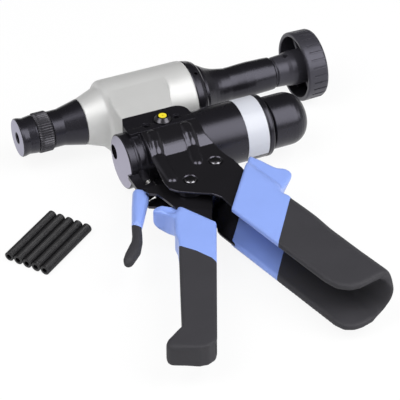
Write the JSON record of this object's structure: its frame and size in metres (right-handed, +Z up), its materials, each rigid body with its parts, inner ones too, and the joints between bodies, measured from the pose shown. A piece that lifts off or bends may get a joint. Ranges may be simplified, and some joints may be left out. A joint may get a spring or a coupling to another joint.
{
  "type": "rivet nut tool",
  "caption": "Hydraulic hand tool with a pulling head, side pump cylinder, two folding handles, a release trigger and a rear handwheel, with loose screw mandrels beside it.",
  "frame": {"origin": "centre of the anvil's front face, where the mandrel comes out", "axes": "+X from the anvil to the handwheel along the head's axis, +Y from the handles to the head, +Z up out of the handles' plane as the tool lies on its side"},
  "size_m": [0.2378, 0.246, 0.0448],
  "materials": {
    "silver_paint": "satin light grey-silver paint",
    "black_satin": "satin black coating with a faint purple cast",
    "frame_black": "satin black coating on pressed sheet",
    "knurled_black": "blackened steel, knurled",
    "anvil_steel": "dark polished steel with a bright ground face",
    "bright_steel": "ground steel",
    "dark_steel": "blackened steel",
    "spring_steel": "bright spring wire",
    "seal_rubber": "black sealing rubber",
    "boot_rubber": "satin black moulded cap",
    "yellow_plastic": "yellow insert",
    "label_white": "bare white label",
    "blue_plastic": "satin periwinkle blue moulding",
    "grip_grey": "matt dark grey moulding"
  },
  "bodies": {
    "tool": {"head_housing": "silver_paint", "nosepiece": "black_satin", "lock_ring": "knurled_black", "anvil": "anvil_steel", "end_cap": "black_satin", "rear_sleeve": "black_satin", "cylinder_seals": "seal_rubber", "return_spring": "spring_steel", "pump_body": "black_satin", "relief_screw": "dark_steel", "relief_spring": "spring_steel", "relief_ball": "bright_steel", "check_balls": "bright_steel", "check_springs": "spring_steel", "gallery_plugs": "dark_steel", "bleed_plug": "dark_steel", "plug_insert": "yellow_plastic", "port_seals": "seal_rubber", "plunger_seal": "seal_rubber", "plunger_spring": "spring_steel", "release_spring": "spring_steel", "reservoir_tube": "black_satin", "label": "label_white", "end_boot": "boot_rubber", "rear_frame": "frame_black", "rear_cover": "blue_plastic", "rear_grip": "grip_grey", "pivot_pin": "bright_steel", "frame_pin": "bright_steel", "trigger_pin": "bright_steel"},
    "piston": {"piston": "bright_steel", "piston_seal": "seal_rubber"},
    "drive": {"drive_shaft": "bright_steel", "mandrel_adapter": "dark_steel", "thrust_bearing": "bright_steel", "handwheel": "black_satin", "wheel_screw": "dark_steel"},
    "front_lever": {"front_frame": "frame_black", "front_cover": "blue_plastic", "front_grip": "grip_grey", "roller_pin": "bright_steel"},
    "roller": {"cam_roller": "bright_steel"},
    "plunger": {"plunger": "bright_steel"},
    "trigger": {"trigger": "black_satin", "trigger_cover": "blue_plastic", "trigger_tip": "grip_grey"},
    "release": {"release_pin": "bright_steel", "release_ball": "bright_steel"},
    "float": {"float_piston": "bright_steel", "float_seal": "seal_rubber"},
    "mandrel_set": {"mandrels": "dark_steel"}
  },
  "joints": [
    {"name": "piston_slide", "type": "slide", "parent": "tool", "child": "piston", "axis": [1, 0, 0], "range_m": [0, 0.006], "stiffness_N_per_m": 2500, "springref_m": -0.004, "deforming": ["return_spring"]},
    {"name": "wheel_spin", "type": "hinge", "parent": "piston", "child": "drive", "pos_m": [0.1, 0, 0], "axis": [1, 0, 0], "continuous": true},
    {"name": "front_handle", "type": "hinge", "parent": "tool", "child": "front_lever", "pos_m": [0.072, -0.0951, 0], "axis": [0, 0, 1], "range_deg": [0, 25], "stiffness_Nm_per_rad": 1.2, "springref_deg": -17.19},
    {"name": "roller_spin", "type": "hinge", "parent": "front_lever", "child": "roller", "pos_m": [0.0844, -0.0963, 0], "axis": [0, 0, 1], "continuous": true},
    {"name": "plunger_slide", "type": "slide", "parent": "tool", "child": "plunger", "axis": [0, 1, 0], "range_m": [0, 0.0054], "deforming": ["plunger_spring"]},
    {"name": "trigger_pull", "type": "hinge", "parent": "tool", "child": "trigger", "pos_m": [0.049, -0.082, 0], "axis": [0, 0, 1], "range_deg": [0, 6], "stiffness_Nm_per_rad": 0.35, "springref_deg": -8.59},
    {"name": "release_slide", "type": "slide", "parent": "tool", "child": "release", "axis": [0, 1, 0], "range_m": [0, 0.0008], "deforming": ["release_spring"]},
    {"name": "float_slide", "type": "slide", "parent": "tool", "child": "float", "axis": [1, 0, 0], "range_m": [-0.005, 0]},
    {"name": "mandrel_lift", "type": "slide", "parent": "tool", "child": "mandrel_set", "axis": [0, 0, 1], "range_m": [0, 0.05]}
  ],
  "couplings": [
    {"joint": "plunger_slide", "follows": "front_handle", "m_per_rad": 0.01227},
    {"joint": "release_slide", "follows": "trigger_pull", "m_per_rad": 0.0075},
    {"joint": "float_slide", "follows": "piston_slide", "ratio": -0.81}
  ]
}
